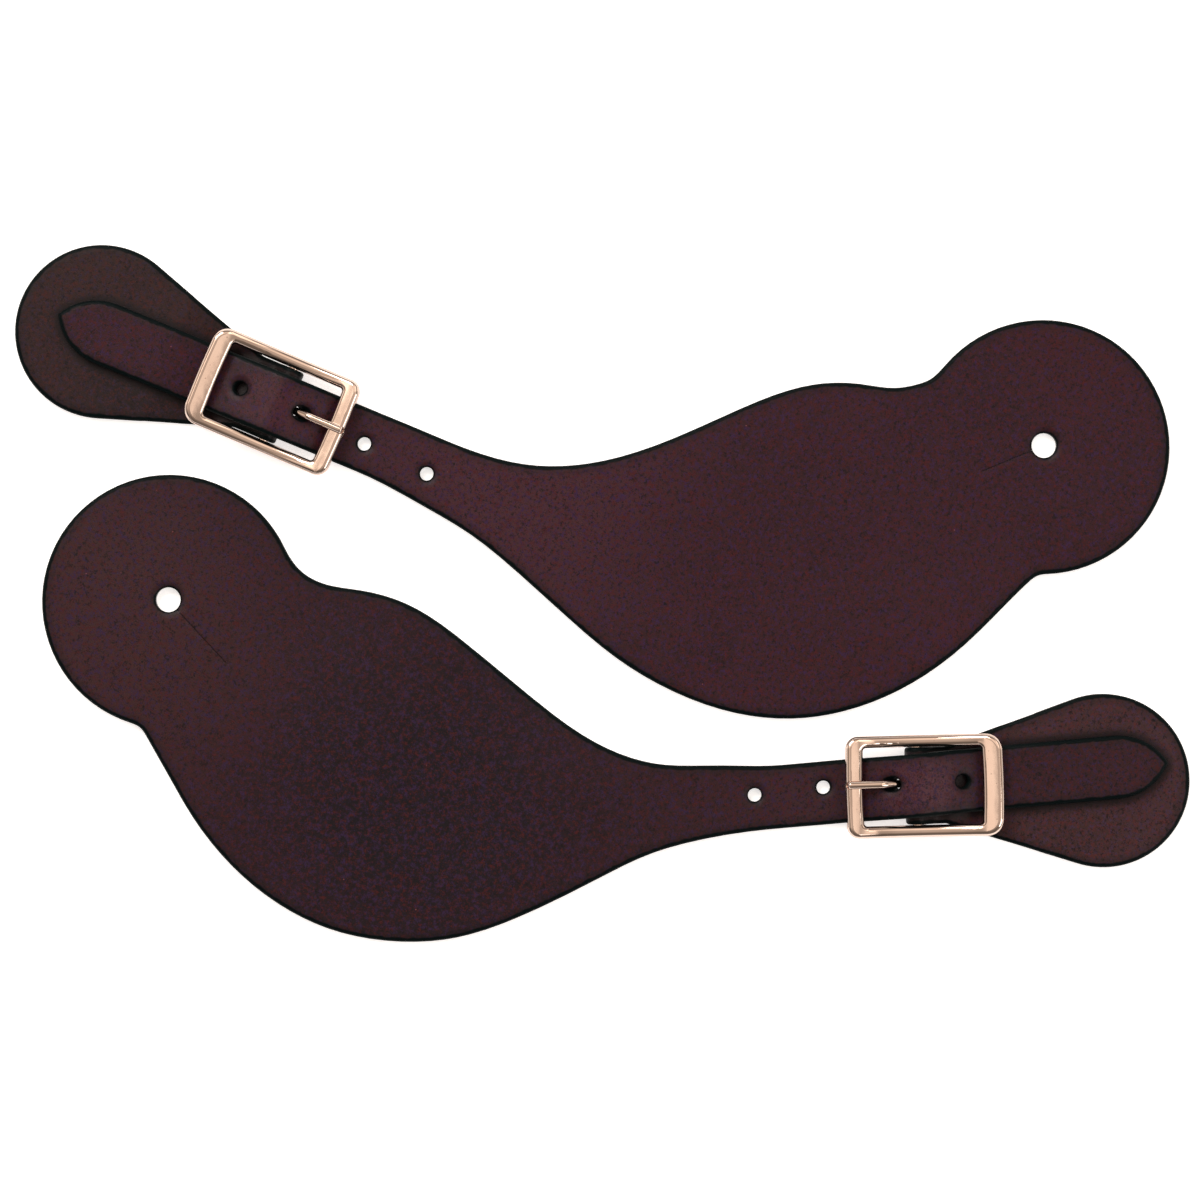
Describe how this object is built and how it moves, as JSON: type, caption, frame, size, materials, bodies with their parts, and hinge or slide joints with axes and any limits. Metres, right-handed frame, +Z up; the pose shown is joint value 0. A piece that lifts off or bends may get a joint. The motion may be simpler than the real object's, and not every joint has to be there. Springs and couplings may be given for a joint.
{
  "type": "pair of spur straps",
  "caption": "Matched left and right leather spur straps with round-ended wings, button holes, punched billets, short end tabs and centre-bar buckles.",
  "frame": {"origin": "on the surface that the pair lies on, under the middle of the pair's bounding box", "axes": "+X along the longer side of the pair, from the right strap's buckle end to its wing end; +Z up from the flesh side to the grain side of the leather; the right strap lies on the +Y side"},
  "size_m": [0.2938, 0.1744, 0.0093],
  "materials": {
    "strap_leather": "satin",
    "buckle_nickel": "polished",
    "rivet_copper": "satin"
  },
  "bodies": {
    "right_strap": {"right_main_strap": "strap_leather", "right_buckle_tab": "strap_leather", "right_fold_rivet_outer": "rivet_copper", "right_fold_rivet_inner": "rivet_copper", "right_rivet_burr_outer": "rivet_copper", "right_rivet_burr_inner": "rivet_copper"},
    "right_buckle": {"right_buckle_frame": "buckle_nickel", "right_buckle_bar": "buckle_nickel"},
    "right_tongue": {"right_buckle_tongue": "buckle_nickel"},
    "left_strap": {"left_main_strap": "strap_leather", "left_buckle_tab": "strap_leather", "left_fold_rivet_outer": "rivet_copper", "left_fold_rivet_inner": "rivet_copper", "left_rivet_burr_outer": "rivet_copper", "left_rivet_burr_inner": "rivet_copper"},
    "left_buckle": {"left_buckle_frame": "buckle_nickel", "left_buckle_bar": "buckle_nickel"},
    "left_tongue": {"left_buckle_tongue": "buckle_nickel"}
  },
  "joints": [
    {"name": "right_buckle_rock", "type": "hinge", "parent": "right_strap", "child": "right_buckle", "pos_m": [-0.08094, 0.04725, 0.003], "axis": [-0.3904, -0.9206, 0], "range_deg": [-1.5, 1]},
    {"name": "right_tongue_lift", "type": "hinge", "parent": "right_buckle", "child": "right_tongue", "pos_m": [-0.08094, 0.04725, 0.003], "axis": [-0.3904, -0.9206, 0], "range_deg": [0, 6]},
    {"name": "left_buckle_rock", "type": "hinge", "parent": "left_strap", "child": "left_buckle", "pos_m": [0.07866, -0.04805, 0.003], "axis": [-0.0241, 0.9997, 0], "range_deg": [-1.5, 1]},
    {"name": "left_tongue_lift", "type": "hinge", "parent": "left_buckle", "child": "left_tongue", "pos_m": [0.07866, -0.04805, 0.003], "axis": [-0.0241, 0.9997, 0], "range_deg": [0, 6]},
    {"name": "left_strap_lift", "type": "slide", "parent": "right_strap", "child": "left_strap", "axis": [0, 0, 1], "range_m": [0, 0.1]}
  ]
}
